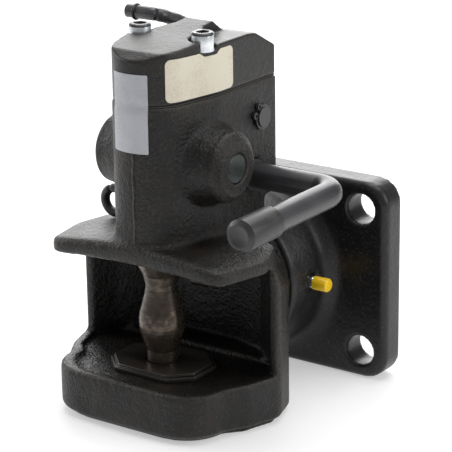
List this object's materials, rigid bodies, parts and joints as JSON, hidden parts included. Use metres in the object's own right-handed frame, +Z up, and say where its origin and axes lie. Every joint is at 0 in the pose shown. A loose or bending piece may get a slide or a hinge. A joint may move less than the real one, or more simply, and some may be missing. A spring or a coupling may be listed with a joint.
{
  "type": "drawbar coupling",
  "caption": "Flange-mounted automatic trailer coupling: swivelling jaw with a hand-lifted crowned pin for a drawbar eye.",
  "frame": {"origin": "swivel axis where it meets the flange's rear mounting face", "axes": "+Y along the swivel axis towards the towing vehicle, -Y out of the jaw's mouth, +Z up along the coupling pin, +X to the hand lever's side"},
  "size_m": [0.2053, 0.233, 0.2531],
  "materials": {
    "cast_body": "black paint on rough casting",
    "cast_flange": "black paint on fine casting",
    "cover_paint": "satin black paint",
    "lever_steel": "semi-gloss black paint",
    "rubber": "satin",
    "pin_steel": "worn and stained",
    "plate_steel": "greasy black",
    "bare_steel": "machined",
    "plug_steel": "dark phosphated",
    "zinc": "bright zinc plated",
    "spring_steel": "black oxide",
    "bronze": "turned",
    "yellow_plastic": "satin",
    "gasket": "matt"
  },
  "bodies": {
    "flange": {"flange_bearing": "cast_flange", "front_swivel_bush": "bronze", "rear_swivel_bush": "bronze", "grease_nipple": "zinc", "nipple_cap": "yellow_plastic"},
    "body": {"coupling_body": "cast_body", "swivel_seal": "rubber", "thrust_washer": "bare_steel", "castle_nut": "bare_steel", "split_pin": "zinc", "pin_guide_bush": "bronze", "lower_pin_bush": "bare_steel", "wear_plate": "plate_steel", "lever_bush_right": "spring_steel", "lever_bush_left": "spring_steel", "bore_plug_right": "plug_steel", "bore_plug_left": "plug_steel", "trigger_pin": "bare_steel", "cable_hook": "lever_steel", "cover": "cover_paint", "cover_gasket": "gasket", "cover_screws": "zinc"},
    "pin": {"coupling_pin": "pin_steel", "pin_carrier": "bare_steel", "carrier_ring": "spring_steel"},
    "lever": {"hand_lever": "lever_steel", "lever_cap": "rubber", "lift_arm": "bare_steel", "arm_cross_pin": "bare_steel", "torsion_spring": "spring_steel", "lever_circlip": "spring_steel"},
    "latch": {"latch_shaft": "lever_steel", "latch_circlip": "spring_steel", "lock_pawl": "bare_steel", "pawl_cross_pin": "bare_steel", "remote_lever": "lever_steel", "cable_clip": "spring_steel"},
    "trigger": {"trigger_lever": "plate_steel"}
  },
  "joints": [
    {"name": "jaw_swivel", "type": "hinge", "parent": "flange", "child": "body", "pos_m": [0, -0.03, 0], "axis": [0, 1, 0], "continuous": true},
    {"name": "hand_lever_lift", "type": "hinge", "parent": "body", "child": "lever", "pos_m": [0, -0.072, 0.0795], "axis": [-1, 0, 0], "range_deg": [0, 74], "stiffness_Nm_per_rad": 1, "springref_deg": -34.38},
    {"name": "pin_lift", "type": "slide", "parent": "body", "child": "pin", "axis": [0, 0, 1], "range_m": [0, 0.062]},
    {"name": "latch_release", "type": "hinge", "parent": "body", "child": "latch", "pos_m": [0, -0.0645, 0.117], "axis": [1, 0, 0], "range_deg": [0, 9.5], "stiffness_Nm_per_rad": 0.6, "springref_deg": -28.65},
    {"name": "trigger_push", "type": "hinge", "parent": "body", "child": "trigger", "pos_m": [0, -0.091, 0.041], "axis": [1, 0, 0], "range_deg": [0, 10], "stiffness_Nm_per_rad": 0.1, "springref_deg": -17.19}
  ],
  "couplings": [
    {"joint": "pin_lift", "follows": "hand_lever_lift", "m_per_rad": 0.048}
  ]
}
